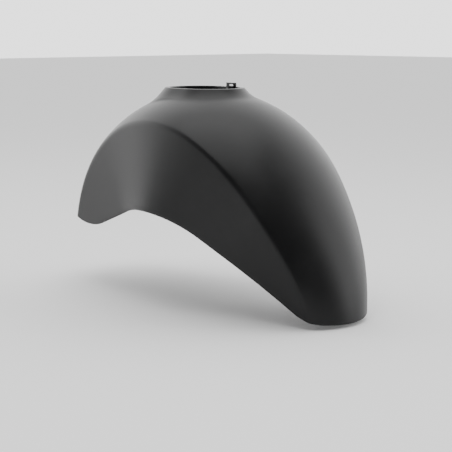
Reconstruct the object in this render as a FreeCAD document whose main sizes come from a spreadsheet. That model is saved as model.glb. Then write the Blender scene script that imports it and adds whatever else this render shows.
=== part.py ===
import FreeCAD, Part
import math
import os
import Sketcher
from FreeCAD import Placement, Rotation, Vector

# A scooter's front mudguard with its fixings, in millimetres.
# The frame stands on the steering axis: +Z runs up that axis, +X points to the mudguard's nose
# and +Y to the vehicle's left. Z = 0 is the underside of the fixing plate, which seats on the
# fork yoke. The wheel's axle lies below and a little ahead of that point.

os.makedirs("parts", exist_ok=True)
doc = FreeCAD.newDocument("front_mudguard")

# ---------------------------------------------------------------- driving dimensions
SIZES = {
    # the crown line's radius about the axle, and the seat plane under it
    "crown_radius": 251.0,
    "crown_rise": 23.0,
    "wheel_ahead": 8.0,
    # crown line at five stations round the wheel, as shares of its radius
    "crown_nose": 1.0876,
    "crown_front": 0.9422,
    "crown_top": 1.0,
    "crown_back": 0.9841,
    "crown_tail": 0.9522,
    # half the greatest width across the creases, and its share at each station
    "half_width": 107.0,
    "half_nose": 0.3505,
    "half_front": 0.785,
    "half_top": 1.0,
    "half_back": 0.8271,
    "half_tail": 0.6963,
    # how far the creases lie below the crown line, as shares of half the greatest width
    "fall_nose": 0.1916,
    "fall_front": 0.2336,
    "fall_top": 0.3551,
    "fall_back": 0.3131,
    "fall_tail": 0.3925,
    # moulding
    "wall": 2.8,
    "crease_round": 10.0,
    "flank_lean": 0.12,
    "flank_foot": 75.0,
    # the inner crease, as shares of the wall, and how much lower the inner loft reaches
    "crease_inset": 0.96,
    "crease_drop": 0.43,
    "hollow_reach": 10.0,
    # lower edge, seen from the side, heights above the axle
    "nose_height": -21.8,
    "tail_height": 61.0,
    "arch_height": 100.0,
    "arch_radius": 160.0,
    "arch_ahead": 2.2,
    "front_edge_slope": 33.0,
    "tail_edge_slope": 19.0,
    "tail_end_slope": 17.0,
    "edge_round": 110.0,
    # hole for the steering column, and the four screws' rectangle beside it
    "column_hole": 46.0,
    "screw_margin_long": 16.0,
    "screw_margin_wide": -6.0,
    # neck round the screws, and the deck in it
    "neck_margin_long": 52.0,
    "neck_margin_wide": 50.0,
    "neck_slope": 40.0,
    "neck_rim": 26.5,
    "rim_width": 6.0,
    "deck_lift": 4.0,
    "deck_wall": 3.5,
    # screws, and what stands round each of them
    "screw_size": 6.0,
    "screw_relief": 0.3,
    "screw_reach": 14.0,
    "screw_chamfer": 0.8,
    "screw_gap": 0.2,
    "sleeve_wall": 1.8,
    "grommet_wall": 2.0,
    "grommet_lip": 2.0,
    "washer_size": 18.0,
    "washer_wall": 1.6,
    # the screws' heads, as shares of the thread's size
    "head_across": 1.6667,
    "head_height": 0.85,
    "flange_radius": 1.1,
    "flange_wall": 0.2,
    # plate under the deck
    "plate_margin_long": 34.0,
    "plate_margin_wide": 32.0,
    "plate_gap": 1.0,
    "plate_wall": 2.5,
    # rubber edging round the column hole
    "edging_wall": 3.0,
    "edging_lip": 3.5,
    "edging_cover": 1.2,
    # strap mount on the neck's rim
    "strap_post": 13.0,
    "strap_along": 11.5,
    "strap_inset": 7.0,
    "strap_hole": 5.2,
    "strap_relief": 0.3,
    "strap_stem": 14.0,
    "barb_pitch": 2.333,
    "barb_rise": 1.633,
    "bridge_length": 18.0,
    "bridge_width": 5.0,
    "bridge_height": 5.4,
    "slot_length": 12.0,
    "slot_height": 2.2,
    "slot_floor": 1.1,
}

sheet = doc.addObject("Spreadsheet::Sheet", "Sizes")
for row, (alias, value) in enumerate(SIZES.items(), start=1):
    sheet.set("A%d" % row, alias.replace("_", " "))
    sheet.set("B%d" % row, str(value))
    sheet.setAlias("B%d" % row, alias)
doc.recompute()

# sizes that follow from the driving ones
WHEEL_DROP = "(Sizes.crown_radius - Sizes.crown_rise)"
BARBS = 4
PITCH_LONG = "(Sizes.column_hole + Sizes.screw_margin_long)"
PITCH_WIDE = "(Sizes.column_hole + Sizes.screw_margin_wide)"
NECK_LENGTH = "(%s + Sizes.neck_margin_long)" % PITCH_LONG
NECK_WIDTH = "(%s + Sizes.neck_margin_wide)" % PITCH_WIDE
STRAP_ACROSS = "(%s / 2 - Sizes.strap_inset)" % NECK_WIDTH
DECK_TOP = "(Sizes.deck_lift + Sizes.deck_wall)"
SLEEVE_TOP = "(%s + Sizes.deck_lift - Sizes.plate_wall)" % DECK_TOP
WASHER_TOP = "(%s + Sizes.washer_wall)" % SLEEVE_TOP
SCREW_BORE = "(Sizes.screw_size / 2 + Sizes.screw_gap)"
SLEEVE_RADIUS = "(%s + Sizes.sleeve_wall)" % SCREW_BORE
GROMMET_HOLE = "(%s + Sizes.grommet_wall)" % SLEEVE_RADIUS
SCREW_PLACES = [("%d * %s / 2" % (along, PITCH_LONG), "%d * %s / 2" % (across, PITCH_WIDE))
                for along in (1, -1) for across in (1, -1)]

STATIONS = {"nose": -20.0, "front": 30.0, "top": 80.0, "back": 125.0, "tail": 185.0}
SECTION_ANGLES = (-20.0, 5.0, 30.0, 55.0, 80.0, 102.5, 125.0, 155.0, 185.0)
UP = Vector(0, 0, 1)


def value_of(text):
    """An expression over the sheet as a number."""
    return float(sheet.evalExpression(text))


def size(alias):
    """A driving dimension as a number."""
    return float(sheet.get(alias))


def station_weights(angle):
    """How much each station counts at an angle: a smooth curve through the five of them."""
    names = list(STATIONS)
    knots = list(STATIONS.values())
    last = len(knots) - 1
    span = max(i for i in range(last) if i == 0 or knots[i] <= angle)
    start, end = knots[span], knots[span + 1]
    part = (angle - start) / (end - start)
    ends = {span: 2 * part**3 - 3 * part**2 + 1, span + 1: 3 * part**2 - 2 * part**3}
    slopes = {span: part**3 - 2 * part**2 + part, span + 1: part**3 - part**2}
    weights = dict.fromkeys(names, 0.0)
    for knot, weight in ends.items():
        weights[names[knot]] += weight
    for knot, weight in slopes.items():
        before, after = max(knot - 1, 0), min(knot + 1, last)
        slope = weight * (end - start) / (knots[after] - knots[before])
        weights[names[after]] += slope
        weights[names[before]] -= slope
    return weights


def at_angle(prefix, whole, angle):
    """The expression of a station size at an angle round the wheel, as shares of a whole size."""
    weights = {name: round(weight, 5) for name, weight in station_weights(angle).items()}
    shares = " + ".join("%.5f * Sizes.%s_%s" % (weight, prefix, name)
                        for name, weight in weights.items() if weight)
    return "(Sizes.%s * (%s))" % (whole, shares)


# ---------------------------------------------------------------- helpers for bodies and sketches
def new_body(label):
    body = doc.addObject("PartDesign::Body", label)
    body.Label = label
    return body


def new_sketch(body, name, role, height=None):
    """A sketch on one of the body's own origin planes, lifted off it by an expression."""
    sketch = body.newObject("Sketcher::SketchObject", name)
    plane = next(item for item in body.Origin.OriginFeatures if item.Role == role)
    sketch.AttachmentSupport = [(plane, "")]
    sketch.MapMode = "FlatFace"
    if height:
        sketch.setExpression("AttachmentOffset.Base.z", height)
    return sketch


def bind(sketch, name, text, kind, *place):
    """Add a dimension to a sketch, name it and tie it to the sheet."""
    value = value_of(text)
    if kind == "Angle":
        value = math.radians(value)
    index = sketch.addConstraint(Sketcher.Constraint(kind, *place, value))
    sketch.renameConstraint(index, name)
    sketch.setExpression("Constraints." + name, text)


def add_circle(sketch, name, radius, centre=None):
    """A circle on the sketch's origin, or centred where two expressions say."""
    place = Vector(value_of(centre[0]), value_of(centre[1]), 0) if centre else Vector()
    index = sketch.addGeometry(Part.Circle(place, UP, value_of(radius)), False)
    bind(sketch, name, radius, "Radius", index)
    if centre:
        bind(sketch, name + "_x", centre[0], "DistanceX", -1, 1, index, 3)
        bind(sketch, name + "_y", centre[1], "DistanceY", -1, 1, index, 3)
    else:
        sketch.addConstraint(Sketcher.Constraint("Coincident", index, 3, -1, 1))


def add_oval(sketch, length, width):
    """A straight-sided oval on the sketch's origin, its long side along the sketch's X."""
    radius = value_of(width) / 2
    reach = (value_of(length) - value_of(width)) / 2
    quarter = math.pi / 2
    right = Part.ArcOfCircle(Part.Circle(Vector(reach, 0, 0), UP, radius), -quarter, quarter)
    left = Part.ArcOfCircle(Part.Circle(Vector(-reach, 0, 0), UP, radius), quarter, 3 * quarter)
    top = Part.LineSegment(Vector(reach, radius, 0), Vector(-reach, radius, 0))
    bottom = Part.LineSegment(Vector(-reach, -radius, 0), Vector(reach, -radius, 0))
    for shape in (right, top, left, bottom):
        sketch.addGeometry(shape, False)
    for first, second in ((0, 1), (1, 2), (2, 3), (3, 0)):
        sketch.addConstraint(Sketcher.Constraint("Tangent", first, 2, second, 1))
    sketch.addConstraint(Sketcher.Constraint("Symmetric", 2, 3, 0, 3, -1, 1))
    sketch.addConstraint(Sketcher.Constraint("PointOnObject", 0, 3, -1))
    bind(sketch, "end_radius", "%s / 2" % width, "Radius", 0)
    bind(sketch, "reach", "%s - %s" % (length, width), "DistanceX", 2, 3, 0, 3)


def add_outline(sketch, corners):
    """A closed outline of straight lines, each corner held by two expressions."""
    points = [Vector(value_of(across), value_of(height), 0) for across, height in corners]
    for start, end in zip(points, points[1:] + points[:1]):
        sketch.addGeometry(Part.LineSegment(start, end), False)
    for number, (across, height) in enumerate(corners):
        before = (number - 1) % len(corners)
        sketch.addConstraint(Sketcher.Constraint("Coincident", before, 2, number, 1))
        bind(sketch, "across_%d" % number, across, "DistanceX", -1, 1, number, 1)
        bind(sketch, "height_%d" % number, height, "DistanceY", -1, 1, number, 1)


def pad(body, name, sketch, length, downwards=False, taper=None):
    feature = body.newObject("PartDesign::Pad", name)
    feature.Profile = sketch
    feature.Length = 1.0
    feature.setExpression("Length", length)
    feature.Reversed = downwards
    if taper:
        feature.setExpression("TaperAngle", taper)
    return feature


def pocket(body, name, sketch, length, upwards=False, taper=None):
    feature = body.newObject("PartDesign::Pocket", name)
    feature.Profile = sketch
    feature.Length = 1.0
    feature.setExpression("Length", length)
    feature.Reversed = upwards
    if taper:
        feature.setExpression("TaperAngle", taper)
    return feature


def through_cut(body, name, sketch):
    """A cut that runs through everything on both sides of the sketch."""
    feature = body.newObject("PartDesign::Pocket", name)
    feature.Profile = sketch
    feature.Type = "ThroughAll"
    feature.Midplane = True
    return feature


# ---------------------------------------------------------------- mudguard shell
def section(body, name, angle, skin):
    """One radial section through the shell: a crown arc, two flanks and a closing line.

    skin is 0 for the outer surface and 1 for the inner one, a wall's depth below it. The crease
    moves in by nearly the wall and down by about half of it, as a parallel line would.
    """
    crown = at_angle("crown", "crown_radius", angle)
    half = at_angle("half", "half_width", angle)
    fall = at_angle("fall", "half_width", angle)
    reach = "(%s - %d * Sizes.crease_inset * Sizes.wall)" % (half, skin)
    rise = "(%s - %s - %d * Sizes.crease_drop * Sizes.wall)" % (crown, fall, skin)
    depth = "(%s - %d * (1 - Sizes.crease_drop) * Sizes.wall)" % (fall, skin)
    foot = "(Sizes.flank_foot - %d * Sizes.hollow_reach)" % skin
    spread = "(%s + Sizes.flank_lean * (%s - %s))" % (reach, rise, foot)
    corner = "(Sizes.crease_round - %d * Sizes.wall)" % skin
    arch = "((%s^2 + %s^2) / (2 * %s))" % (reach, depth, depth)

    sketch = new_sketch(body, name, "YZ_Plane")
    sketch.setExpression("AttachmentOffset.Base.y", "-" + WHEEL_DROP)
    sketch.setExpression("AttachmentOffset.Base.z", "Sizes.wheel_ahead")
    sketch.AttachmentOffset = Placement(Vector(0, 0, 0), Rotation(Vector(1, 0, 0), 90 - angle))

    # the rounding's centre keeps its radius from the flank and from the crown arc
    radius, rounding = value_of(arch), value_of(corner)
    crease = Vector(value_of(reach), value_of(rise), 0)
    toe = Vector(value_of(spread), value_of(foot), 0)
    centre = Vector(0, crease.y + value_of(depth) - radius, 0)
    down = (toe - crease).normalize()
    inward = Vector(down.y, -down.x, 0)
    offset = crease + inward * rounding - centre
    along = offset.dot(down)
    slide = -along - math.sqrt(along**2 - offset.dot(offset) + (radius - rounding)**2)
    middle = centre + offset + down * slide
    on_flank = middle - inward * rounding
    crown_start = math.atan2(middle.y - centre.y, middle.x)
    flank_turn = math.atan2(-inward.y, -inward.x)
    left_middle, left_toe, left_flank = (Vector(-point.x, point.y, 0) for point in (middle, toe, on_flank))
    outline = (
        Part.ArcOfCircle(Part.Circle(centre, UP, radius), crown_start, math.pi - crown_start),
        Part.ArcOfCircle(Part.Circle(middle, UP, rounding), flank_turn, crown_start),
        Part.LineSegment(on_flank, toe),
        Part.LineSegment(toe, left_toe),
        Part.LineSegment(left_toe, left_flank),
        Part.ArcOfCircle(Part.Circle(left_middle, UP, rounding), math.pi - crown_start, math.pi - flank_turn),
    )
    for shape in outline:
        sketch.addGeometry(shape, False)
    point = sketch.addGeometry(Part.Point(crease), True)
    for ends in ((0, 1, 1, 2), (1, 1, 2, 1), (4, 2, 5, 2), (5, 1, 0, 2)):
        sketch.addConstraint(Sketcher.Constraint("Tangent", *ends))
    for ends in ((2, 2, 3, 1), (3, 2, 4, 1)):
        sketch.addConstraint(Sketcher.Constraint("Coincident", *ends))
    sketch.addConstraint(Sketcher.Constraint("Symmetric", 0, 1, 0, 2, -2))
    sketch.addConstraint(Sketcher.Constraint("Symmetric", 2, 2, 4, 1, -2))
    sketch.addConstraint(Sketcher.Constraint("Equal", 1, 5))
    for line in (0, 2):
        sketch.addConstraint(Sketcher.Constraint("PointOnObject", point, 1, line))
    bind(sketch, "reach", reach, "DistanceX", -1, 1, point, 1)
    bind(sketch, "rise", rise, "DistanceY", -1, 1, point, 1)
    bind(sketch, "spread", spread, "DistanceX", -1, 1, 2, 2)
    bind(sketch, "foot", foot, "DistanceY", -1, 1, 2, 2)
    bind(sketch, "corner", corner, "Radius", 1)
    bind(sketch, "arc", arch, "Radius", 0)
    return sketch


def loft(body, kind, name, skin):
    """The shell's outer or inner surface, through a section at every angle."""
    sections = [section(body, "%s_%d" % (name, number), angle, skin)
                for number, angle in enumerate(SECTION_ANGLES, start=1)]
    doc.recompute()
    feature = body.newObject("PartDesign::" + kind, name)
    feature.Profile = sections[0]
    feature.Sections = sections[1:]
    feature.Ruled = False
    return feature


def lower_edge(body):
    """The side view below the lower edge: rounded nose, front edge, wheel arch, rounded tail."""
    sketch = new_sketch(body, "lower_edge", "XZ_Plane")
    sketch.setExpression("AttachmentOffset.Base.x", "Sizes.wheel_ahead")
    sketch.setExpression("AttachmentOffset.Base.y", "-" + WHEEL_DROP)

    arch, rounding = size("arch_radius"), size("edge_round")
    nose, tail = size("nose_height"), size("tail_height")
    front, back, end = (math.radians(size(name))
                        for name in ("front_edge_slope", "tail_edge_slope", "tail_end_slope"))
    centre = Vector(size("arch_ahead"), size("arch_height") - arch, 0)
    arch_start = centre + Vector(math.sin(front), math.cos(front), 0) * arch
    arch_end = centre + Vector(-math.sin(back), math.cos(back), 0) * arch
    front_foot = arch_start + Vector(1, -math.tan(front), 0) * ((arch_start.y - nose) / math.tan(front))
    back_foot = arch_end + Vector(-1, -math.tan(back), 0) * ((arch_end.y - tail) / math.tan(back))
    front_in = front_foot + Vector(rounding * math.tan(front / 2), 0, 0)
    tail_low = back_foot - Vector(rounding * math.tan(back / 2), 0, 0)
    lift = Vector(0, rounding, 0)
    front_out = front_in + lift - Vector(math.sin(front), math.cos(front), 0) * rounding
    back_in = tail_low + lift + Vector(math.sin(back), -math.cos(back), 0) * rounding
    back_out = tail_low + lift - Vector(math.sin(end), math.cos(end), 0) * rounding
    far = 2 * size("crown_radius")
    far_tail = Vector(-far, back_out.y + (back_out.x + far) * math.tan(end), 0)
    up, down = math.pi / 2, 3 * math.pi / 2

    def arc(middle, radius, start, stop):
        return Part.ArcOfCircle(Part.Circle(middle, UP, radius), start, stop)

    outline = (
        Part.LineSegment(Vector(far, nose, 0), front_in),
        arc(front_in + lift, rounding, down - front, down),
        Part.LineSegment(front_out, arch_start),
        arc(centre, arch, up - front, up + back),
        Part.LineSegment(back_in, arch_end),
        arc(tail_low + lift, rounding, down - end, down + back),
        Part.LineSegment(back_out, far_tail),
        Part.LineSegment(far_tail, Vector(-far, -far, 0)),
        Part.LineSegment(Vector(-far, -far, 0), Vector(far, -far, 0)),
        Part.LineSegment(Vector(far, -far, 0), Vector(far, nose, 0)),
    )
    for piece in outline:
        sketch.addGeometry(piece, False)
    lowest = sketch.addGeometry(Part.Point(tail_low), True)
    for ends in ((0, 2, 1, 2), (1, 1, 2, 1), (2, 2, 3, 1), (3, 2, 4, 2), (4, 1, 5, 2), (5, 1, 6, 1)):
        sketch.addConstraint(Sketcher.Constraint("Tangent", *ends))
    for ends in ((6, 2, 7, 1), (7, 2, 8, 1), (8, 2, 9, 1), (9, 2, 0, 1)):
        sketch.addConstraint(Sketcher.Constraint("Coincident", *ends))
    for line in (0, 8):
        sketch.addConstraint(Sketcher.Constraint("Horizontal", line))
    for line in (7, 9):
        sketch.addConstraint(Sketcher.Constraint("Vertical", line))
    sketch.addConstraint(Sketcher.Constraint("Equal", 1, 5))
    sketch.addConstraint(Sketcher.Constraint("PointOnObject", lowest, 1, 5))
    sketch.addConstraint(Sketcher.Constraint("Vertical", lowest, 1, 5, 3))
    bind(sketch, "nose", "Sizes.nose_height", "DistanceY", -1, 1, 0, 1)
    bind(sketch, "tail", "Sizes.tail_height", "DistanceY", -1, 1, lowest, 1)
    bind(sketch, "corner", "Sizes.edge_round", "Radius", 1)
    bind(sketch, "arch", "Sizes.arch_radius", "Radius", 3)
    bind(sketch, "arch_x", "Sizes.arch_ahead", "DistanceX", -1, 1, 3, 3)
    bind(sketch, "arch_y", "Sizes.arch_height - Sizes.arch_radius", "DistanceY", -1, 1, 3, 3)
    bind(sketch, "front", "180 - Sizes.front_edge_slope", "Angle", 2)
    bind(sketch, "back", "Sizes.tail_edge_slope", "Angle", 4)
    bind(sketch, "end", "180 - Sizes.tail_end_slope", "Angle", 6)
    bind(sketch, "far_front", "2 * Sizes.crown_radius", "DistanceX", -1, 1, 0, 1)
    bind(sketch, "far_back", "-2 * Sizes.crown_radius", "DistanceX", -1, 1, 7, 1)
    bind(sketch, "far_below", "-2 * Sizes.crown_radius", "DistanceY", -1, 1, 8, 1)
    return sketch


def mudguard_shell():
    body = new_body("mudguard_shell")
    loft(body, "AdditiveLoft", "outside", 0)

    # the neck flares down from its rim into the crown
    neck = new_sketch(body, "neck", "XY_Plane", "Sizes.neck_rim")
    add_oval(neck, NECK_LENGTH, NECK_WIDTH)
    pad(body, "neck_pad", neck, "Sizes.neck_rim", downwards=True, taper="Sizes.neck_slope")
    loft(body, "SubtractiveLoft", "inside", 1)

    # the neck is hollow from below, with the same wall as the rest
    slack = "2 * Sizes.wall * (1 / cos(Sizes.neck_slope * 1 deg) - tan(Sizes.neck_slope * 1 deg))"
    core = new_sketch(body, "neck_core", "XY_Plane", "Sizes.neck_rim - Sizes.wall")
    add_oval(core, "(%s - %s)" % (NECK_LENGTH, slack), "(%s - %s)" % (NECK_WIDTH, slack))
    pocket(body, "neck_hollow", core, "Sizes.neck_rim", taper="Sizes.neck_slope")

    # the deck hangs in the neck on an upright wall of its own
    cup = new_sketch(body, "deck_wall_plan", "XY_Plane", "Sizes.deck_lift")
    cup_set = "2 * (Sizes.rim_width - Sizes.wall)"
    add_oval(cup, "(%s - %s)" % (NECK_LENGTH, cup_set), "(%s - %s)" % (NECK_WIDTH, cup_set))
    pad(body, "deck_cup", cup, "Sizes.neck_rim - Sizes.deck_lift")
    recess = new_sketch(body, "deck_recess_plan", "XY_Plane", DECK_TOP)
    rim_set = "2 * Sizes.rim_width"
    add_oval(recess, "(%s - %s)" % (NECK_LENGTH, rim_set), "(%s - %s)" % (NECK_WIDTH, rim_set))
    pocket(body, "deck_recess", recess, "Sizes.neck_rim", upwards=True)

    # a post in the neck's left wall takes the strap mount's stem
    place = ("Sizes.strap_along", STRAP_ACROSS)
    post = new_sketch(body, "strap_post_plan", "XY_Plane", "Sizes.deck_lift")
    add_circle(post, "post", "Sizes.strap_post / 2", place)
    pad(body, "strap_post", post, "Sizes.neck_rim - Sizes.deck_lift")
    stem = new_sketch(body, "strap_hole_plan", "XY_Plane", "Sizes.neck_rim")
    add_circle(stem, "stem", "Sizes.strap_hole / 2", place)
    pocket(body, "strap_hole", stem, "Sizes.strap_stem + Sizes.wall")

    holes = new_sketch(body, "deck_holes_plan", "XY_Plane", DECK_TOP)
    add_circle(holes, "column", "Sizes.column_hole / 2")
    for number, place in enumerate(SCREW_PLACES, start=1):
        add_circle(holes, "screw_%d" % number, GROMMET_HOLE, place)
    pocket(body, "deck_holes", holes, "2 * Sizes.deck_wall")

    through_cut(body, "lower_edge_cut", lower_edge(body))
    return body


# ---------------------------------------------------------------- fixings
def fixing_plate():
    """Pressed steel plate under the deck: it spreads the screws' load and stands on the yoke."""
    body = new_body("fixing_plate")
    plan = new_sketch(body, "plate_plan", "XY_Plane")
    length = "(%s + Sizes.plate_margin_long)" % PITCH_LONG
    width = "(%s + Sizes.plate_margin_wide)" % PITCH_WIDE
    add_oval(plan, length, width)
    add_circle(plan, "column", "(Sizes.column_hole / 2 + Sizes.plate_gap)")
    pad(body, "plate", plan, "Sizes.plate_wall")
    holes = new_sketch(body, "plate_holes_plan", "XY_Plane", "Sizes.plate_wall")
    for number, place in enumerate(SCREW_PLACES, start=1):
        add_circle(holes, "screw_%d" % number, SCREW_BORE, place)
    pocket(body, "plate_holes", holes, "2 * Sizes.plate_wall")
    return body


def turned(name, corners, places=None):
    """Solids of revolution about upright axes: one at each place, or one on the frame's Z axis.

    corners are (radius, height) expressions of the half section.
    """
    half_section = doc.addObject("Sketcher::SketchObject", name + "_section")
    half_section.Placement = Placement(Vector(), Rotation(Vector(1, 0, 0), 90))
    add_outline(half_section, corners)
    pieces = []
    for number, (along, across) in enumerate(places or [("0", "0")], start=1):
        piece = doc.addObject("Part::Revolution", "%s_turned_%d" % (name, number))
        piece.Source = half_section
        piece.Axis = UP
        piece.Angle = 360
        piece.Solid = True
        piece.setExpression("Placement.Base.x", along)
        piece.setExpression("Placement.Base.y", across)
        pieces.append(piece)
    return pieces


def group(label, pieces):
    """Equal pieces kept as separate solids of one compound."""
    compound = doc.addObject("Part::Compound", label)
    compound.Label = label
    compound.Links = pieces
    return compound


def screw_sleeves():
    """Steel sleeves that carry the screws' clamping load past the rubber."""
    floor = "Sizes.plate_wall"
    corners = [(SCREW_BORE, floor), (SLEEVE_RADIUS, floor),
               (SLEEVE_RADIUS, SLEEVE_TOP), (SCREW_BORE, SLEEVE_TOP)]
    return group("screw_sleeves", turned("sleeve", corners, SCREW_PLACES))


def deck_grommets():
    """Rubber grommets that sit in the deck's holes with a lip above and below it."""
    floor, under = "Sizes.plate_wall", "Sizes.deck_lift"
    lip = "(%s + Sizes.grommet_lip)" % GROMMET_HOLE
    corners = [(SLEEVE_RADIUS, floor), (lip, floor), (lip, under), (GROMMET_HOLE, under),
               (GROMMET_HOLE, DECK_TOP), (lip, DECK_TOP), (lip, SLEEVE_TOP), (SLEEVE_RADIUS, SLEEVE_TOP)]
    return group("deck_grommets", turned("grommet", corners, SCREW_PLACES))


def screw_washers():
    rim = "Sizes.washer_size / 2"
    corners = [(SCREW_BORE, SLEEVE_TOP), (rim, SLEEVE_TOP), (rim, WASHER_TOP), (SCREW_BORE, WASHER_TOP)]
    return group("screw_washers", turned("washer", corners, SCREW_PLACES))


def flange_screws():
    """Four hexagon flange screws; below the plate the thread stands out to enter the yoke.

    Above the plate's seat the shank is relieved, so that it clears the sleeve.
    """
    thread = "Sizes.screw_size / 2"
    shank = "(Sizes.screw_size / 2 - Sizes.screw_relief)"
    flange = "Sizes.screw_size * Sizes.flange_radius"
    flange_top = "(%s + Sizes.screw_size * Sizes.flange_wall)" % WASHER_TOP
    tip, bevel = "-Sizes.screw_reach", "(Sizes.screw_chamfer - Sizes.screw_reach)"
    corners = [("0", tip), ("(%s - Sizes.screw_chamfer)" % thread, tip), (thread, bevel), (thread, "0"),
               (shank, "0"), (shank, WASHER_TOP), (flange, WASHER_TOP), (flange, flange_top),
               ("0", flange_top)]
    blank = turned("screw", corners)[0]
    hexagon = doc.addObject("Part::Prism", "screw_hexagon")
    hexagon.Polygon = 6
    hexagon.setExpression("Circumradius", "Sizes.screw_size * Sizes.head_across / sqrt(3)")
    hexagon.setExpression("Height", "Sizes.screw_size * Sizes.head_height")
    hexagon.setExpression("Placement.Base.z", WASHER_TOP)
    screws = []
    for number, (along, across) in enumerate(SCREW_PLACES, start=1):
        screw = doc.addObject("Part::MultiFuse", "screw_%d" % number)
        screw.Shapes = [blank, hexagon]
        screw.Refine = True
        screw.setExpression("Placement.Base.x", along)
        screw.setExpression("Placement.Base.y", across)
        screws.append(screw)
    return group("flange_screws", screws)


def column_edging():
    """Rubber edging pressed over the deck's round hole, where cables pass the column."""
    hole, under = "Sizes.column_hole / 2", "Sizes.deck_lift"
    inner, lip = "(%s - Sizes.edging_wall)" % hole, "(%s + Sizes.edging_lip)" % hole
    low, high = "(Sizes.deck_lift - Sizes.edging_cover)", "(%s + Sizes.edging_cover)" % DECK_TOP
    corners = [(inner, low), (lip, low), (lip, under), (hole, under), (hole, DECK_TOP), (lip, DECK_TOP),
               (lip, high), (inner, high)]
    ring = turned("edging", corners)[0]
    ring.Label = "column_edging"
    return ring


def strap_mount():
    """Small moulded bridge on the neck's rim: a strap through it holds the hose and the cable."""
    body = new_body("strap_mount")
    plan = new_sketch(body, "bridge_plan", "XY_Plane", "Sizes.neck_rim")
    plan.setExpression("AttachmentOffset.Base.x", "Sizes.strap_along")
    plan.setExpression("AttachmentOffset.Base.y", STRAP_ACROSS)
    add_oval(plan, "Sizes.bridge_length", "Sizes.bridge_width")
    pad(body, "bridge", plan, "Sizes.bridge_height")

    slot = new_sketch(body, "slot_plan", "XZ_Plane")
    slot.setExpression("AttachmentOffset.Base.x", "Sizes.strap_along")
    slot.setExpression("AttachmentOffset.Base.y", "Sizes.neck_rim + Sizes.slot_floor")
    left, right, top = "-Sizes.slot_length / 2", "Sizes.slot_length / 2", "Sizes.slot_height"
    add_outline(slot, [(left, "0"), (right, "0"), (right, top), (left, top)])
    through_cut(body, "slot", slot)

    # the stem's barbs: each rises from the core to the hole's wall and steps back
    stem = new_sketch(body, "stem_section", "XZ_Plane", "-" + STRAP_ACROSS)
    stem.setExpression("AttachmentOffset.Base.x", "Sizes.strap_along")
    stem.setExpression("AttachmentOffset.Base.y", "Sizes.neck_rim")
    wall, core = "Sizes.strap_hole / 2", "(Sizes.strap_hole / 2 - Sizes.strap_relief)"
    corners = [("0", "-Sizes.strap_stem"), (core, "-Sizes.strap_stem")]
    for barb in range(1, BARBS + 1):
        low = "(-Sizes.strap_stem + %d * Sizes.barb_pitch)" % barb
        high = "(%s + Sizes.barb_rise)" % low
        corners += [(core, low), (wall, high), (core, high)]
    corners += [(core, "0"), ("0", "0")]
    add_outline(stem, corners)
    turn = body.newObject("PartDesign::Revolution", "stem")
    turn.Profile = stem
    turn.ReferenceAxis = (stem, ["V_Axis"])
    turn.Angle = 360
    return body


# ---------------------------------------------------------------- build, check and write
subparts = [mudguard_shell(), fixing_plate(), screw_sleeves(), deck_grommets(), screw_washers(),
            flange_screws(), column_edging(), strap_mount()]
doc.recompute()

for item in doc.Objects:
    if "Invalid" in item.State or "Error" in item.State:
        raise RuntimeError("%s did not build: %s" % (item.Label, item.State))
for piece in subparts:
    if piece.Shape.isNull() or not piece.Shape.isValid():
        raise RuntimeError("%s has no valid shape" % piece.Label)
for piece in subparts:
    piece.Shape.exportStep(os.path.join("parts", piece.Label + ".step"))
    print("%-16s %8.1f cm3, solids %d" % (piece.Label, piece.Shape.Volume / 1000, len(piece.Shape.Solids)))
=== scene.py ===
import math

import bmesh
import bpy
from mathutils import Matrix, Vector


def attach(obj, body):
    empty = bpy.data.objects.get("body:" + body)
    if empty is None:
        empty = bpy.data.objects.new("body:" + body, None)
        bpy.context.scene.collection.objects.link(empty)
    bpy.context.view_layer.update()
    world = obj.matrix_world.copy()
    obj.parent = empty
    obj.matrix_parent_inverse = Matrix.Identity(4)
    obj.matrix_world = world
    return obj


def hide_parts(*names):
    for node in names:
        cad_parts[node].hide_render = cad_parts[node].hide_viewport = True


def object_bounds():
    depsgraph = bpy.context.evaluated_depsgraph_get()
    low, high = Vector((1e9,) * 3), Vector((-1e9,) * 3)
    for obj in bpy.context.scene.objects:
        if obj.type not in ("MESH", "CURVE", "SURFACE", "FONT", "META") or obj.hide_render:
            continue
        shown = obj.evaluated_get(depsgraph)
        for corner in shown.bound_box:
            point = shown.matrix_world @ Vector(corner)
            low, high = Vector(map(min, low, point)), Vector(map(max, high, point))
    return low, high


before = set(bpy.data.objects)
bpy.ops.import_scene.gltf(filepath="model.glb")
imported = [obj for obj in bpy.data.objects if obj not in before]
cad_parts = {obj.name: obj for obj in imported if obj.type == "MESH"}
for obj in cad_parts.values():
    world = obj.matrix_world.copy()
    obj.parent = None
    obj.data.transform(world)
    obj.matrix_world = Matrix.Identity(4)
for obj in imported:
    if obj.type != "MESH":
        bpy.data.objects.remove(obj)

cad_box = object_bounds()
MM = 0.001

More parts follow.
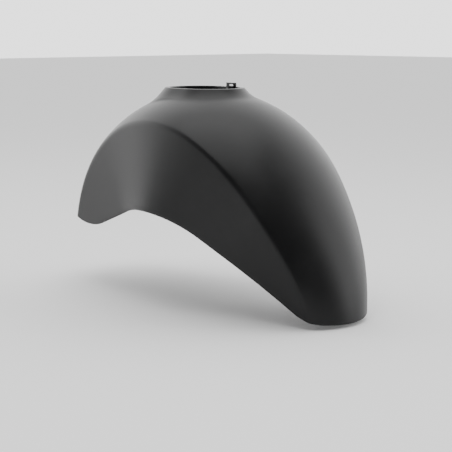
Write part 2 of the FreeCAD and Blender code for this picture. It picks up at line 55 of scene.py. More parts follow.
# ---------------------------------------------------------------- sizes, in millimetres
# The shell's driving dimensions, the same as the part's own: the axle's place, three sizes at five
# stations round the wheel, the lower edge's side view, the neck and the deck.
WHEEL = Vector((8.0, 0.0, -228.0))
STATIONS = (-20.0, 30.0, 80.0, 125.0, 185.0)
CROWN = (273.0, 236.5, 251.0, 247.0, 239.0)
HALF = (37.5, 84.0, 107.0, 88.5, 74.5)
FALL = (20.5, 25.0, 38.0, 33.5, 42.0)
WALL = 2.8
CREASE_ROUND = 10.0
FLANK_LEAN = 0.12
FLANK_UNIT = 100.0
NOSE_HEIGHT, TAIL_HEIGHT = -21.8, 61.0
ARCH_HEIGHT, ARCH_RADIUS, ARCH_AHEAD = 100.0, 160.0, 2.2
FRONT_SLOPE, BACK_SLOPE, END_SLOPE = math.radians(33.0), math.radians(19.0), math.radians(17.0)
EDGE_ROUND = 110.0
NECK_LENGTH, NECK_WIDTH, NECK_SLOPE = 114.0, 90.0, math.radians(40.0)
NECK_RIM, RIM_WIDTH = 26.5, 6.0
DECK_LIFT, DECK_WALL = 4.0, 3.5
COLUMN_HOLE = 23.0
SCREW_HOLE = 7.0
SCREW_PLACES = [(x, y) for x in (31.0, -31.0) for y in (20.0, -20.0)]
PLATE_TOP, SLEEVE_TOP, WASHER_TOP = 2.5, 9.0, 10.6
BORE, SLEEVE, GROMMET = 3.2, 5.0, 7.0
STRAP_PLACE, STRAP_POST, STRAP_HOLE = (11.5, 38.0), 6.5, 2.6
LIP = 2.0
EDGING_WALL, EDGING_LIP, EDGING_COVER = 3.0, 3.5, 1.2
WASHER = 9.0
THREAD_END, THREAD_START, THREAD_TURNS, TURN_STEPS = -14.0, -13.2, 12.6, 24
HEAD_CORNER, HEAD_HEIGHT, HEAD_LIFT = 5.7735, 5.1, 0.9
CAMERA_AZIMUTH, CAMERA_ELEVATION, CAMERA_DISTANCE, LENS = 47.2, 9.3, 1.6354, 95.3


def blend_stations(values, angle):
    """A smooth curve through the five station values, read at an angle round the wheel."""
    span = max(i for i in range(4) if i == 0 or STATIONS[i] <= angle)
    start, end = STATIONS[span], STATIONS[span + 1]
    part = (angle - start) / (end - start)

    def slope(knot):
        before, after = max(knot - 1, 0), min(knot + 1, 4)
        return (values[after] - values[before]) / (STATIONS[after] - STATIONS[before]) * (end - start)

    return ((2 * part**3 - 3 * part**2 + 1) * values[span] + (3 * part**2 - 2 * part**3) * values[span + 1]
            + (part**3 - 2 * part**2 + part) * slope(span) + (part**3 - part**2) * slope(span + 1))


# ---------------------------------------------------------------- the shell's surface as formulas
CROWN_ROWS, CREASE_ROWS, FLANK_ROWS, COLUMNS = 16, 4, 14, 120
# how far the end columns run along the edge, how the columns crowd there, and how soon they straighten
NOSE_REACH, TAIL_REACH, CROWDING, BEND_ZONE = 38.0, 44.0, 0.7, 0.08
ROWS = CROWN_ROWS + CREASE_ROWS + FLANK_ROWS


class Section:
    """The shell's cross-section at one angle: crown arc, rounded crease and leaning flank.

    A point is (half width, depth below the crown line), and turn is the way its surface faces,
    in radians from straight up.
    """

    def __init__(self, angle):
        self.crown = blend_stations(CROWN, angle)
        half = blend_stations(HALF, angle)
        fall = blend_stations(FALL, angle)
        self.radius = (half**2 + fall**2) / (2 * fall)
        down = Vector((FLANK_LEAN, 1.0)).normalized()
        inward = Vector((-down.y, down.x))
        start = Vector((half, fall)) + inward * CREASE_ROUND - Vector((0.0, self.radius))
        reach = start.dot(down)
        slide = -reach - math.sqrt(reach**2 - start.dot(start) + (self.radius - CREASE_ROUND)**2)
        self.middle = start + down * slide + Vector((0.0, self.radius))
        self.crown_turn = math.atan2(self.middle.x, self.radius - self.middle.y)
        self.flank_turn = math.atan2(1.0, FLANK_LEAN)
        self.flank_start = self.middle - inward * CREASE_ROUND

    def point(self, place, skin=0.0):
        """(half width, depth) at a place: 0 to 1 over the crown, to 2 round the crease, then the flank."""
        if place <= 1.0:
            turn = self.crown_turn * place
            radius = self.radius - skin
            return radius * math.sin(turn), self.radius - radius * math.cos(turn)
        if place <= 2.0:
            turn = self.crown_turn + (self.flank_turn - self.crown_turn) * (place - 1.0)
            radius = CREASE_ROUND - skin
            return self.middle.x + radius * math.sin(turn), self.middle.y - radius * math.cos(turn)
        start = self.flank_start - Vector((math.sin(self.flank_turn), -math.cos(self.flank_turn))) * skin
        depth = start.y + (place - 2.0) * FLANK_UNIT
        return start.x + FLANK_LEAN * (depth - start.y), depth

    def reach(self, depth, skin=0.0):
        """The place at which the section comes down to a depth."""
        if depth < self.point(1.0, skin)[1]:
            return math.acos((self.radius - depth) / (self.radius - skin)) / self.crown_turn
        if depth < self.point(2.0, skin)[1]:
            turn = math.acos((self.middle.y - depth) / (CREASE_ROUND - skin))
            return 1.0 + (turn - self.crown_turn) / (self.flank_turn - self.crown_turn)
        return 2.0 + (depth - self.point(2.0, skin)[1]) / FLANK_UNIT

    def crown_depth(self, across):
        """How far the crown lies below its line at a distance from the middle."""
        return self.radius - math.sqrt(self.radius**2 - across**2)


def from_axle(angle, radius):
    """A point of the side view, seen from the axle."""
    return Vector((math.cos(math.radians(angle)), math.sin(math.radians(angle)))) * radius


def angle_of(point):
    return math.degrees(math.atan2(point.y, point.x))


def turn_point(centre, radius, turn):
    """A point of a circle, its turn counted from straight up towards the nose."""
    return centre + Vector((math.sin(turn), math.cos(turn))) * radius


class LowerEdge:
    """The lower edge in side view, from the nose to the tail, walked by length."""

    def __init__(self):
        arch = Vector((ARCH_AHEAD, ARCH_HEIGHT - ARCH_RADIUS))
        arch_front = turn_point(arch, ARCH_RADIUS, FRONT_SLOPE)
        arch_back = turn_point(arch, ARCH_RADIUS, -BACK_SLOPE)
        front_run = (arch_front.y - NOSE_HEIGHT) / math.tan(FRONT_SLOPE)
        back_run = (arch_back.y - TAIL_HEIGHT) / math.tan(BACK_SLOPE)
        front_run += EDGE_ROUND * math.tan(FRONT_SLOPE / 2)
        back_run += EDGE_ROUND * math.tan(BACK_SLOPE / 2)
        nose = Vector((arch_front.x + front_run, NOSE_HEIGHT + EDGE_ROUND))
        tail = Vector((arch_back.x - back_run, TAIL_HEIGHT + EDGE_ROUND))
        points = []
        for centre, radius, start, end in (
                (nose, EDGE_ROUND, math.pi, math.pi + FRONT_SLOPE),
                (arch, ARCH_RADIUS, FRONT_SLOPE, -BACK_SLOPE),
                (tail, EDGE_ROUND, math.pi - BACK_SLOPE, math.pi + END_SLOPE)):
            points += [turn_point(centre, radius, start + (end - start) * k / 60) for k in range(61)]
        points.append(points[-1] + Vector((-math.cos(END_SLOPE), math.sin(END_SLOPE))) * 90.0)
        self.points = points
        self.lengths = [0.0]
        for first, second in zip(points, points[1:]):
            self.lengths.append(self.lengths[-1] + (second - first).length)

    def at(self, length):
        """The point at a length along the edge."""
        number = max(k for k in range(len(self.points) - 1) if k == 0 or self.lengths[k] <= length)
        share = (length - self.lengths[number]) / (self.lengths[number + 1] - self.lengths[number])
        return self.points[number].lerp(self.points[number + 1], share)

    def crossing(self, low, high):
        """The length at which the edge meets the crown line; low lies inside it and high outside."""
        for _ in range(40):
            middle = (low + high) / 2
            point = self.at(middle)
            if point.length < blend_stations(CROWN, angle_of(point)):
                low = middle
            else:
                high = middle
        return low


EDGE = LowerEdge()
NOSE_TOP = EDGE.crossing(EDGE.lengths[-1] / 2, 0.0)
TAIL_TOP = EDGE.crossing(EDGE.lengths[-1] / 2, EDGE.lengths[-1])
NOSE_FOOT, TAIL_FOOT = NOSE_TOP + NOSE_REACH, TAIL_TOP - TAIL_REACH
NOSE_ANGLE, TAIL_ANGLE = angle_of(EDGE.at(NOSE_TOP)), angle_of(EDGE.at(TAIL_TOP))


class Column:
    """One line of the shell's mesh in side view, from the crown line down to the lower edge.

    The first and the last column follow the edge itself, round the nose and the tail.
    """

    def __init__(self, part):
        # columns crowd a little towards the nose and the tail, where the edge turns
        part -= CROWDING * math.sin(2 * math.pi * part) / (2 * math.pi)
        self.angle = NOSE_ANGLE + (TAIL_ANGLE - NOSE_ANGLE) * part
        self.top = from_axle(self.angle, blend_stations(CROWN, self.angle))
        self.foot = EDGE.at(NOSE_FOOT + (TAIL_FOOT - NOSE_FOOT) * part)
        near_end = min(part, 1 - part)
        self.bend = max(1 - near_end / BEND_ZONE, 0.0)**2
        self.ends = (NOSE_TOP, NOSE_FOOT) if part < 0.5 else (TAIL_TOP, TAIL_FOOT)
        foot_angle = angle_of(self.foot)
        self.depth = blend_stations(CROWN, foot_angle) - self.foot.length
        section = Section(foot_angle)
        self.last = section.reach(self.depth)
        self.last_inner = section.reach(self.depth, WALL)

    def along(self, share):
        """The point at a share of the column's height."""
        point = self.top.lerp(self.foot, share)
        if self.bend:
            start, end = self.ends
            chord = EDGE.at(start).lerp(EDGE.at(end), share)
            point += (EDGE.at(start + (end - start) * share) - chord) * self.bend
        return point

    def side_view(self, depth):
        """The point of the column at a depth below the crown line."""
        share = depth / self.depth
        for _ in range(5):
            point = self.along(share)
            error = depth - (blend_stations(CROWN, angle_of(point)) - point.length)
            share += error / self.depth
        return self.along(share)

    def place(self, step):
        """The place of a row, counted from the crown line. The flank's rows thin out where it ends."""
        even = self.last * step / ROWS
        if step <= CROWN_ROWS:
            kept = step / CROWN_ROWS
        elif step <= CROWN_ROWS + CREASE_ROWS:
            kept = 1.0 + (step - CROWN_ROWS) / CREASE_ROWS
        else:
            kept = 2.0 + (self.last - 2.0) * (step - CROWN_ROWS - CREASE_ROWS) / FLANK_ROWS
        share = min(max((self.last - 2.0) / 0.1, 0.0), 1.0)
        share = share**2 * (3 - 2 * share)
        return kept * share + even * (1 - share)

    def surface(self, place, skin=0.0):
        """The point of the shell at a place, in the row frame, on its left side."""
        angle = self.angle
        for _ in range(3):
            across, depth = Section(angle).point(place, skin)
            point = self.side_view(depth)
            angle = angle_of(point)
        return WHEEL + Vector((point.x, across, point.y))


def crown_height(along, across):
    """Height of the crown's outer face over a point near the neck."""
    angle = 90.0
    for _ in range(12):
        section = Section(angle)
        radius = section.crown - section.crown_depth(across)
        angle = math.degrees(math.acos((along - WHEEL.x) / radius))
    return WHEEL.z + radius * math.sin(math.radians(angle))


def oval_distance(along, across, length=NECK_LENGTH, width=NECK_WIDTH):
    """Distance of a point outside a straight-sided oval; negative inside."""
    spare = max(abs(along) - (length - width) / 2, 0.0)
    return math.hypot(spare, across) - width / 2


def on_oval(direction, offset):
    """The point of the neck's oval, grown by an offset, in a direction from the steering axis."""
    low, high = 0.0, NECK_LENGTH
    for _ in range(40):
        reach = (low + high) / 2
        if oval_distance(direction.x * reach, direction.y * reach) < offset:
            low = reach
        else:
            high = reach
    return direction * low


def neck_height(along, across):
    """Height of the neck's flare where it rises out of the crown, with a soft fillet between them."""
    flare = NECK_RIM - oval_distance(along, across) / math.tan(NECK_SLOPE)
    crown = crown_height(along, across)
    fillet = 7.0
    overlap = max(fillet - abs(flare - crown), 0.0) / fillet
    return max(flare, crown) + overlap**2 * fillet / 4


def neck_point(along, across):
    """A point of the flare and the point of its inner face, one wall in along the normal."""
    step = 0.5
    height = neck_height(along, across)
    slope_x = (neck_height(along + step, across) - neck_height(along - step, across)) / (2 * step)
    slope_y = (neck_height(along, across + step) - neck_height(along, across - step)) / (2 * step)
    normal = Vector((-slope_x, -slope_y, 1.0)).normalized()
    outer = Vector((along, across, height))
    return outer, outer - normal * WALL


# ---------------------------------------------------------------- mesh helpers
def new_piece(name, bm, node, material, smooth=True):
    """Turn a mesh in millimetres into a piece that rides on the body and stands for a CAD node."""
    bmesh.ops.scale(bm, vec=Vector((MM, MM, MM)), verts=bm.verts)
    mesh = bpy.data.meshes.new(name)
    bm.to_mesh(mesh)
    bm.free()
    piece = bpy.data.objects.new(name, mesh)
    bpy.context.scene.collection.objects.link(piece)
    for polygon in mesh.polygons:
        polygon.use_smooth = smooth
    mesh.materials.append(material)
    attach(piece, "root")
    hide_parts(node)
    return piece


def grow_ring(bm, ring, inner, places):
    """Extrude an ordered open ring of vertices once, to new outer and inner-face places."""
    edges = [bm.edges.get((first, second)) for first, second in zip(ring, ring[1:] + ring[:1])]
    made = bmesh.ops.extrude_edge_only(bm, edges=edges)["geom"]
    fresh = {item for item in made if isinstance(item, bmesh.types.BMVert)}
    grown = []
    for vert, (outside, inside) in zip(ring, places):
        new = next(edge.other_vert(vert) for edge in vert.link_edges if edge.other_vert(vert) in fresh)
        new.co = outside
        inner[new] = inside
        grown.append(new)
    return grown


def flat_ring(bm, inner, centre, radius, count, top, bottom):
    """A circle of loose edges in the deck's top face, with its places on the underside."""
    made = bmesh.ops.create_circle(bm, segments=count, radius=radius,
                                   matrix=Matrix.Translation((centre[0], centre[1], top)))["verts"]
    for vert in made:
        inner[vert] = Vector((vert.co.x, vert.co.y, bottom))
    return list({edge for vert in made for edge in vert.link_edges})


# ---------------------------------------------------------------- the shell
def lay_skin(bm, inner):
    """Bend a flat grid over the crown, the creases and the flanks, down to the lower edge."""
    grid = bmesh.ops.create_grid(bm, x_segments=COLUMNS, y_segments=2 * ROWS, size=1.0)["verts"]
    places = {vert: (round((vert.co.x + 1) / 2 * COLUMNS), round(vert.co.y * ROWS)) for vert in grid}
    for number in range(COLUMNS + 1):
        column = Column(number / COLUMNS)
        points = []
        for step in range(ROWS + 1):
            place = column.place(step)
            inner_place = place * column.last_inner / column.last
            points.append((column.surface(place), column.surface(inner_place, WALL)))
        for vert in (vert for vert in grid if places[vert][0] == number):
            side = Vector((1.0, math.copysign(1.0, places[vert][1]), 1.0))
            outside, inside = points[abs(places[vert][1])]
            vert.co = outside * side
            inner[vert] = inside * side
    return places


def open_neck(bm, inner, places):
    """Cut a block out of the crown round the neck and return its rim of vertices in order."""
    reach_rows = 9
    crest = {places[vert][0]: vert.co.x for vert in inner if places[vert][1] == 0}
    numbers = [number for number, along in crest.items() if abs(along) < 90.0]
    first, last = min(numbers), max(numbers)

    def in_block(vert):
        number, row = places[vert]
        return first <= number <= last and abs(row) <= reach_rows

    inside = [face for face in bm.faces if all(in_block(vert) for vert in face.verts)]
    bmesh.ops.delete(bm, geom=inside, context="FACES")
    for vert in [vert for vert in inner if not vert.is_valid]:
        del inner[vert]
    rim = [vert for vert in inner if in_block(vert)]
    return sorted(rim, key=lambda vert: math.atan2(vert.co.y, vert.co.x))


def raise_neck(bm, inner, ring):
    """Grow the flare, the rounded rim, the recess wall and the deck's border from the crown's opening."""
    starts = [Vector((vert.co.x, vert.co.y)) for vert in ring]
    ways = [start.normalized() for start in starts]
    steps = 12
    rim_edge = 0.9
    for number in range(1, steps + 1):
        share = math.sin(math.pi / 2 * number / steps)
        targets = []
        for start, way in zip(starts, ways):
            point = start.lerp(on_oval(way, rim_edge), share)
            targets.append(neck_point(point.x, point.y))
        ring = grow_ring(bm, ring, inner, targets)
    deck = DECK_LIFT + DECK_WALL
    under = NECK_RIM - WALL
    # (offset from the rim's oval, height) of the outer face, then of the inner face
    profile = (
        ((0.25, NECK_RIM - 0.30), (-1.25, under + 0.3)),
        ((-0.70, NECK_RIM), (-1.55, under)),
        ((0.8 - RIM_WIDTH, NECK_RIM), (-2.85, under)),
        ((0.15 - RIM_WIDTH, NECK_RIM - 0.25), (-3.15, under - 0.3)),
        ((-RIM_WIDTH, NECK_RIM - 0.9), (WALL - RIM_WIDTH, under - 1.0)),
        ((-RIM_WIDTH, deck + 9.0), (WALL - RIM_WIDTH, deck + 8.0)),
        ((-RIM_WIDTH, deck + 2.2), (WALL - RIM_WIDTH, DECK_LIFT + 2.4)),
        ((-RIM_WIDTH - 0.45, deck + 0.75), (WALL - RIM_WIDTH - 0.1, DECK_LIFT + 0.8)),
        ((-RIM_WIDTH - 1.3, deck + 0.08), (WALL - RIM_WIDTH - 0.7, DECK_LIFT + 0.06)),
        ((-RIM_WIDTH - 2.4, deck), (WALL - RIM_WIDTH - 2.0, DECK_LIFT)),
    )
    for (offset, height), (inner_offset, inner_height) in profile:
        targets = []
        for way in ways:
            outside, inside = on_oval(way, offset), on_oval(way, inner_offset)
            targets.append((Vector((*outside, height)), Vector((*inside, inner_height))))
        ring = grow_ring(bm, ring, inner, targets)
    return ring


def close_wall(bm, inner):
    """Give the sheet its wall: a copy moved to the inner face and joined round every open edge."""
    copied = bmesh.ops.duplicate(bm, geom=list(bm.verts) + list(bm.edges) + list(bm.faces))
    twins = {vert: copied["vert_map"][vert] for vert in inner}
    open_edges = [edge for edge in bm.edges if len(edge.link_faces) == 1 and edge.verts[0] in twins]
    border = {vert for edge in open_edges for vert in edge.verts}
    made = set(bmesh.ops.extrude_edge_only(bm, edges=open_edges)["geom"])
    joins = {}
    for vert in border:
        new = next(edge.other_vert(vert) for edge in vert.link_edges if edge.other_vert(vert) in made)
        joins[new] = twins[vert]
    for vert, twin in twins.items():
        twin.co = inner[vert]
    bmesh.ops.weld_verts(bm, targetmap=joins)
    bmesh.ops.recalc_face_normals(bm, faces=bm.faces)


def shell_mesh():
    bm = bmesh.new()
    inner = {}
    places = lay_skin(bm, inner)
    ring = open_neck(bm, inner, places)
    ring = raise_neck(bm, inner, ring)
    border = [bm.edges.get((first, second)) for first, second in zip(ring, ring[1:] + ring[:1])]
    deck = DECK_LIFT + DECK_WALL
    border += flat_ring(bm, inner, (0.0, 0.0), COLUMN_HOLE, 48, deck, DECK_LIFT)
    for centre in SCREW_PLACES:
        border += flat_ring(bm, inner, centre, SCREW_HOLE, 24, deck, DECK_LIFT)
    bmesh.ops.triangle_fill(bm, use_beauty=True, use_dissolve=False, edges=border)
    close_wall(bm, inner)
    return bm


# ---------------------------------------------------------------- shader expressions
class Wire:
    """A socket of a node tree: arithmetic on it adds the Math nodes that work it out."""

    def __init__(self, tree, socket):
        self.tree = tree
        self.socket = socket

    def node(self, kind, settings=None, **values):
        """A new node of a kind, its settings first, then the values or links of its sockets."""
        made = self.tree.nodes.new(kind)
        for name, value in (settings or {}).items():
            setattr(made, name, value)
        for name, value in values.items():
            key = int(name[1:]) if name[0] == "i" and name[1:].isdigit() else name.replace("_", " ")
            socket = made.inputs[key]
            if isinstance(value, Wire):
                self.tree.links.new(value.socket, socket)
            else:
                socket.default_value = value
        return made

    def out(self, kind, output=0, settings=None, **values):
        """The wire that leaves a new node."""
        return Wire(self.tree, self.node(kind, settings, **values).outputs[output])

    def math(self, operation, first, second):
        return self.out("ShaderNodeMath", 0, {"operation": operation}, i0=first, i1=second)

    def __add__(self, other):
        return self.math("ADD", self, other)

    def __radd__(self, other):
        return self.math("ADD", other, self)

    def __sub__(self, other):
        return self.math("SUBTRACT", self, other)

    def __rsub__(self, other):
        return self.math("SUBTRACT", other, self)

    def __mul__(self, other):
        return self.math("MULTIPLY", self, other)

    def __rmul__(self, other):
        return self.math("MULTIPLY", other, self)

    def noise(self, scale, detail=3.0, rough=0.55):
        """Noise on this vector, about 0.5 in the middle."""
        return self.out("ShaderNodeTexNoise", 0, None,
                        Vector=self, Scale=scale, Detail=detail, Roughness=rough)

    def band(self, low, high):
        """0 below low, 1 above high, smooth between."""
        return self.out("ShaderNodeMapRange", 0, {"interpolation_type": "SMOOTHSTEP"},
                        Value=self, From_Min=low, From_Max=high)

    def stretched(self, x, y, z):
        return self.out("ShaderNodeMapping", 0, None, Vector=self, Scale=(x, y, z))

    def colours(self, first, second):
        """A colour between two, by this wire."""
        return self.out("ShaderNodeMix", 2, {"data_type": "RGBA"},
                        i0=self, i6=(*first, 1.0), i7=(*second, 1.0))


def new_material(name, **fixed):
    """A material with its shader's constant sockets set; returns it, its shader and its coordinates."""
    material = bpy.data.materials.new(name)
    material.use_nodes = True
    tree = material.node_tree
    shader = tree.nodes["Principled BSDF"]
    for key, value in fixed.items():
        shader.inputs[key.replace("_", " ")].default_value = value
    coordinates = Wire(tree, tree.nodes.new("ShaderNodeTexCoord").outputs["Object"])
    return material, shader, coordinates


def drive(shader, colour, rough, height, distance, strength=1.0):
    """Link a colour, a roughness and a bump height to a shader."""
    tree = colour.tree
    tree.links.new(colour.socket, shader.inputs["Base Color"])
    tree.links.new(rough.socket, shader.inputs["Roughness"])
    bump = height.out("ShaderNodeBump", 0, None, Strength=strength, Distance=distance, Height=height)
    tree.links.new(bump.socket, shader.inputs["Normal"])


def satin_black():
    """Moulded black plastic: fine grain, a hint of flow marks, light handling scuffs and dust haze."""
    material, shader, at = new_material("satin_black_plastic", Specular_IOR_Level=0.24)
    grain = at.noise(2600.0, 2.0, 0.6)
    peel = at.noise(260.0, 2.0, 0.5)
    flow = at.stretched(5.0, 14.0, 9.0).noise(1.0, 4.0, 0.6)
    scuff = at.stretched(55.0, 900.0, 260.0).noise(1.0, 4.0, 0.6).band(0.66, 0.76)
    haze = at.noise(9.0, 4.0, 0.6).band(0.35, 0.75)
    shade = haze * 0.55 + grain * 0.3 + scuff * 0.15
    colour = shade.colours((0.0065, 0.0066, 0.0070), (0.0165, 0.0166, 0.0172))
    rough = 0.335 + haze * 0.045 + (flow - 0.5) * 0.06 + (grain - 0.5) * 0.10 + scuff * 0.05
    height = grain * 0.55 + peel * 0.45 - scuff * 0.15
    drive(shader, colour, rough, height, 0.00008, 0.7)
    return material


def zinc_steel(name, tint, worn):
    """Zinc-plated steel: crystalline patches, brushed lines and dull spots."""
    material, shader, at = new_material(name, Metallic=1.0)
    cells = at.out("ShaderNodeTexVoronoi", 0, {"feature": "F1"}, Vector=at, Scale=420.0)
    lines = at.stretched(900.0, 900.0, 90.0).noise(1.0, 3.0, 0.6)
    spots = at.noise(190.0, 4.0, 0.6).band(0.45, 0.7)
    dark = tuple(part * 0.62 for part in tint)
    light = tuple(min(part * 1.25, 1.0) for part in tint)
    colour = (cells * 0.5 + lines * 0.3 + (1 - spots) * 0.3).colours(dark, light)
    rough = 0.24 + spots * worn + (lines - 0.5) * 0.12
    drive(shader, colour, rough, lines * 0.7 + cells * 0.3, 0.00006, 0.6)
    return material


def black_rubber():
    """Matt rubber with a bloom of dust and a pebbled skin."""
    material, shader, at = new_material("black_rubber", Specular_IOR_Level=0.35)
    pebbles = at.out("ShaderNodeTexVoronoi", 0, {"feature": "SMOOTH_F1"}, Vector=at, Scale=1500.0)
    bloom = at.noise(85.0, 4.0, 0.6).band(0.4, 0.75)
    colour = (bloom * 0.8 + pebbles * 0.2).colours((0.011, 0.011, 0.012), (0.034, 0.033, 0.032))
    rough = 0.62 + bloom * 0.2 + (pebbles - 0.4) * 0.08
    drive(shader, colour, rough, pebbles, 0.0001, 0.8)
    return material


def black_nylon():
    """Dyed nylon moulding, a shade glossier than the shell, with fine spark-eroded grain."""
    material, shader, at = new_material("black_nylon", Specular_IOR_Level=0.5)
    grain = at.noise(2100.0, 3.0, 0.65)
    cloud = at.noise(130.0, 3.0, 0.5)
    colour = (grain * 0.5 + cloud * 0.5).colours((0.009, 0.009, 0.010), (0.022, 0.022, 0.023))
    rough = 0.36 + (grain - 0.5) * 0.14 + cloud * 0.10
    drive(shader, colour, rough, grain, 0.00007, 0.8)
    return material


def studio_white():
    """Matt white sweep with a barely visible paper tooth."""
    material, shader, at = new_material("studio_white", Specular_IOR_Level=0.1)
    tooth = at.noise(420.0, 3.0, 0.6)
    colour = (tooth * 0.5 + 0.25).colours((0.93, 0.93, 0.93), (0.97, 0.97, 0.97))
    drive(shader, colour, 0.85 + tooth * 0.1, tooth, 0.00005, 0.3)
    return material


# ---------------------------------------------------------------- the fittings inside the neck
def spin_profile(bm, corners, centre, steps=64, poles=False):
    """Spin (radius, height) corners round an upright axis: a closed loop, or a line whose ends are poles."""
    verts = [bm.verts.new((centre[0] + radius, centre[1], height)) for radius, height in corners]
    edges = [bm.edges.new(pair) for pair in zip(verts, verts[1:] if poles else verts[1:] + verts[:1])]
    axis = Vector((centre[0], centre[1], 0.0))
    bmesh.ops.spin(bm, geom=verts + edges, cent=axis, axis=(0.0, 0.0, 1.0), angle=2 * math.pi, steps=steps,
                   use_merge=True, use_duplicate=False)
    bmesh.ops.remove_doubles(bm, verts=bm.verts, dist=0.06 if poles else 0.0005)


def soften(corners, amount):
    """Cut each corner of a closed profile with a three-point round."""
    soft = []
    for number, corner in enumerate(corners):
        here = Vector(corner)
        before = Vector(corners[number - 1]) - here
        after = Vector(corners[(number + 1) % len(corners)]) - here
        reach = min(amount, before.length / 3, after.length / 3)
        start, end = here + before.normalized() * reach, here + after.normalized() * reach
        soft += [tuple(start), tuple((start + end) / 4 + here / 2), tuple(end)]
    return soft


def rings_mesh(corners, amount, places, steps=64):
    bm = bmesh.new()
    for place in places:
        spin_profile(bm, soften(corners, amount), place, steps)
    bmesh.ops.recalc_face_normals(bm, faces=bm.faces)
    return bm


def screws_mesh():
    """Hexagon flange screws: dished flange, chamfered head, relieved shank and a rolled thread."""
    bm = bmesh.new()
    flange, top = WASHER_TOP + 1.2, WASHER_TOP + HEAD_HEIGHT
    axis_gap = 0.02
    blank = [(axis_gap, THREAD_END), (2.2, THREAD_END), (2.65, -13.3), (2.65, 0.0), (2.7, 0.3),
             (2.7, WASHER_TOP),
             (6.3, WASHER_TOP), (6.6, WASHER_TOP + 0.35), (6.45, WASHER_TOP + 0.75), (5.2, flange),
             (axis_gap, flange)]
    for place in SCREW_PLACES:
        blank_bm = bmesh.new()
        spin_profile(blank_bm, blank, place, 48, poles=True)
        blank_mesh = bpy.data.meshes.new("blank")
        blank_bm.to_mesh(blank_mesh)
        blank_bm.free()
        bm.from_mesh(blank_mesh)
        bpy.data.meshes.remove(blank_mesh)
        # the thread: a ridge wound down the shank, one millimetre a turn
        start = Vector((*place, THREAD_START))
        ridge = [bm.verts.new(start + Vector(corner)) for corner in
                 ((2.55, 0.0, -0.42), (2.98, 0.0, -0.06), (2.98, 0.0, 0.06), (2.55, 0.0, 0.42))]
        face = bm.faces.new(ridge)
        bmesh.ops.spin(bm, geom=ridge + list(face.edges) + [face], cent=start, axis=(0.0, 0.0, 1.0),
                       dvec=(0.0, 0.0, 1.0 / TURN_STEPS), angle=2 * math.pi * THREAD_TURNS,
                       steps=int(THREAD_TURNS * TURN_STEPS),
                       use_merge=False, use_duplicate=False)
        middle = Matrix.Translation((*place, (top + WASHER_TOP + HEAD_LIFT) / 2))
        hexagon = bmesh.ops.create_cone(bm, cap_ends=True, segments=6, radius1=HEAD_CORNER,
                                        radius2=HEAD_CORNER, depth=top - WASHER_TOP - HEAD_LIFT,
                                        matrix=middle)
        verts = hexagon["verts"]
        edges = list({edge for vert in verts for edge in vert.link_edges})
        bmesh.ops.bevel(bm, geom=edges, offset=0.45, segments=3, profile=0.5, affect="EDGES", material=-1)
    bmesh.ops.recalc_face_normals(bm, faces=bm.faces)
    return bm


def softened_copy(node, width):
    """A copy of a CAD node's mesh, its loose triangles merged and its sharp edges rounded."""
    bm = bmesh.new()
    bm.from_mesh(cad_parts[node].data)
    bmesh.ops.scale(bm, vec=Vector((1 / MM, 1 / MM, 1 / MM)), verts=bm.verts)
    bmesh.ops.remove_doubles(bm, verts=bm.verts, dist=0.001)
    bmesh.ops.dissolve_limit(bm, angle_limit=math.radians(1.0), verts=bm.verts, edges=bm.edges)
    sharp = [edge for edge in bm.edges
             if len(edge.link_faces) == 2 and edge.calc_face_angle() > math.radians(40)]
    bmesh.ops.bevel(bm, geom=sharp, offset=width, segments=2, profile=0.5, affect="EDGES", material=-1,
                    clamp_overlap=True)
    return bm


def post_mesh():
    """The post on the deck that takes the strap mount's stem."""
    deck = DECK_LIFT + DECK_WALL
    corners = [(STRAP_HOLE, deck - 1.0), (STRAP_POST + 0.5, deck - 1.0), (STRAP_POST + 0.3, deck + 0.6),
               (STRAP_POST, deck + 1.4), (STRAP_POST, NECK_RIM - 0.05), (STRAP_HOLE, NECK_RIM - 0.05)]
    return rings_mesh(corners, 0.3, [STRAP_PLACE], 48)


black = satin_black()
zinc = zinc_steel("zinc_steel", (0.62, 0.63, 0.62), 0.16)
rubber = black_rubber()
nylon = black_nylon()
plate_zinc = zinc_steel("zinc_plate", (0.50, 0.51, 0.50), 0.24)

shell = new_piece("mudguard", shell_mesh(), "mudguard_shell", black)
smoother = shell.modifiers.new("smooth", "SUBSURF")
smoother.levels = 1
smoother.render_levels = 1
new_piece("strap_post", post_mesh(), "mudguard_shell", black)

sleeve = [(BORE, PLATE_TOP), (SLEEVE, PLATE_TOP), (SLEEVE, SLEEVE_TOP), (BORE, SLEEVE_TOP)]
deck_top = DECK_LIFT + DECK_WALL
lip = GROMMET + LIP
grommet = [(SLEEVE, PLATE_TOP), (lip, PLATE_TOP), (lip, DECK_LIFT), (GROMMET, DECK_LIFT),
           (GROMMET, deck_top), (lip, deck_top), (lip, SLEEVE_TOP), (SLEEVE, SLEEVE_TOP)]
washer = [(BORE, SLEEVE_TOP), (WASHER, SLEEVE_TOP), (WASHER, WASHER_TOP), (BORE, WASHER_TOP)]
low, high = DECK_LIFT - EDGING_COVER, deck_top + EDGING_COVER
inside, outside = COLUMN_HOLE - EDGING_WALL, COLUMN_HOLE + EDGING_LIP
edging = [(inside, low), (outside, low), (outside, DECK_LIFT), (COLUMN_HOLE, DECK_LIFT),
          (COLUMN_HOLE, deck_top), (outside, deck_top), (outside, high), (inside, high)]
new_piece("screw_sleeves_round", rings_mesh(sleeve, 0.15, SCREW_PLACES), "screw_sleeves", zinc)
new_piece("deck_grommets_round", rings_mesh(grommet, 0.4, SCREW_PLACES), "deck_grommets", rubber)
new_piece("screw_washers_round", rings_mesh(washer, 0.25, SCREW_PLACES), "screw_washers", zinc)
new_piece("column_edging_round", rings_mesh(edging, 0.9, [(0.0, 0.0)], 96), "column_edging", rubber)
new_piece("flange_screws_threaded", screws_mesh(), "flange_screws", zinc, smooth=False)
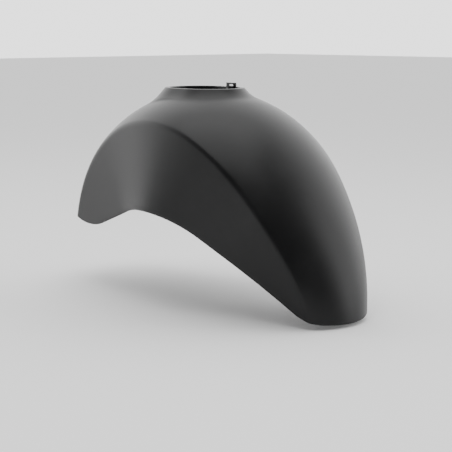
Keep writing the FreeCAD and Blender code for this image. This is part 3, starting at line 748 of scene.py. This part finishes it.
new_piece("fixing_plate_pressed", softened_copy("fixing_plate", 0.3), "fixing_plate",
          plate_zinc, smooth=False)
new_piece("strap_bridge", softened_copy("strap_mount", 0.3), "strap_mount",
          nylon, smooth=False)


# ---------------------------------------------------------------- stage, camera and lights
def make_stage():
    bm = bmesh.new()
    bmesh.ops.create_grid(bm, x_segments=1, y_segments=1, size=12.0,
                          matrix=Matrix.Translation((0, 0, cad_box[0][2] - 0.004)))
    mesh = bpy.data.meshes.new("floor")
    bm.to_mesh(mesh)
    bm.free()
    floor = bpy.data.objects.new("floor", mesh)
    bpy.context.scene.collection.objects.link(floor)
    mesh.materials.append(studio_white())


def direction(azimuth, elevation):
    turn, tilt = math.radians(azimuth), math.radians(elevation)
    return Vector((math.sin(turn) * math.cos(tilt), -math.cos(turn) * math.cos(tilt), math.sin(tilt)))


def add_light(name, azimuth, elevation, distance, width, height, power, target):
    """A soft box at an angle round the object, facing a target."""
    light = bpy.data.lights.new(name, "AREA")
    light.shape = "RECTANGLE"
    light.size, light.size_y = width, height
    light.energy = power
    lamp = bpy.data.objects.new(name, light)
    bpy.context.scene.collection.objects.link(lamp)
    back = direction(azimuth, elevation)
    lamp.location = target + back * distance
    lamp.rotation_euler = back.to_track_quat("Z", "Y").to_euler()


def make_camera():
    """A long lens in front of the nose's right side, a little above the axle's height."""
    back = direction(CAMERA_AZIMUTH, CAMERA_ELEVATION)
    turn = math.radians(CAMERA_AZIMUTH)
    right = Vector((math.cos(turn), math.sin(turn), 0.0))
    up = back.cross(right)
    data = bpy.data.cameras.new("camera")
    data.sensor_width = 36.0
    data.lens = LENS
    camera = bpy.data.objects.new("camera", data)
    bpy.context.scene.collection.objects.link(camera)
    aim = WHEEL * MM + right * 0.0231 + up * 0.06656
    turned = Matrix((right, up, back)).transposed().to_4x4()
    camera.matrix_world = Matrix.Translation(aim + back * CAMERA_DISTANCE) @ turned
    bpy.context.scene.camera = camera


def light_world(towards, dark, bright):
    """A studio that is bright all round and dark on one side."""
    world = bpy.data.worlds.new("studio")
    bpy.context.scene.world = world
    world.use_nodes = True
    tree = world.node_tree
    tree.nodes["Background"].inputs["Color"].default_value = (1.0, 1.0, 1.0, 1.0)
    ways = Wire(tree, tree.nodes.new("ShaderNodeTexCoord").outputs["Generated"])
    facing = ways.out("ShaderNodeVectorMath", 1, {"operation": "DOT_PRODUCT"}, i0=ways, i1=tuple(towards))
    strength = bright + facing.band(-0.35, 0.75) * (dark - bright)
    tree.links.new(strength.socket, tree.nodes["Background"].inputs["Strength"])


make_stage()
centre = Vector((0.0, 0.0, -0.1))
add_light("top", 47.0, 82.0, 1.7, 1.5, 1.5, 16.0, centre)
add_light("left", -62.0, 14.0, 1.9, 1.7, 1.5, 5.0, centre)
add_light("right", 128.0, 16.0, 1.9, 0.8, 1.4, 6.0, centre)
make_camera()
light_world(direction(CAMERA_AZIMUTH, 20.0), 0.10, 2.3)
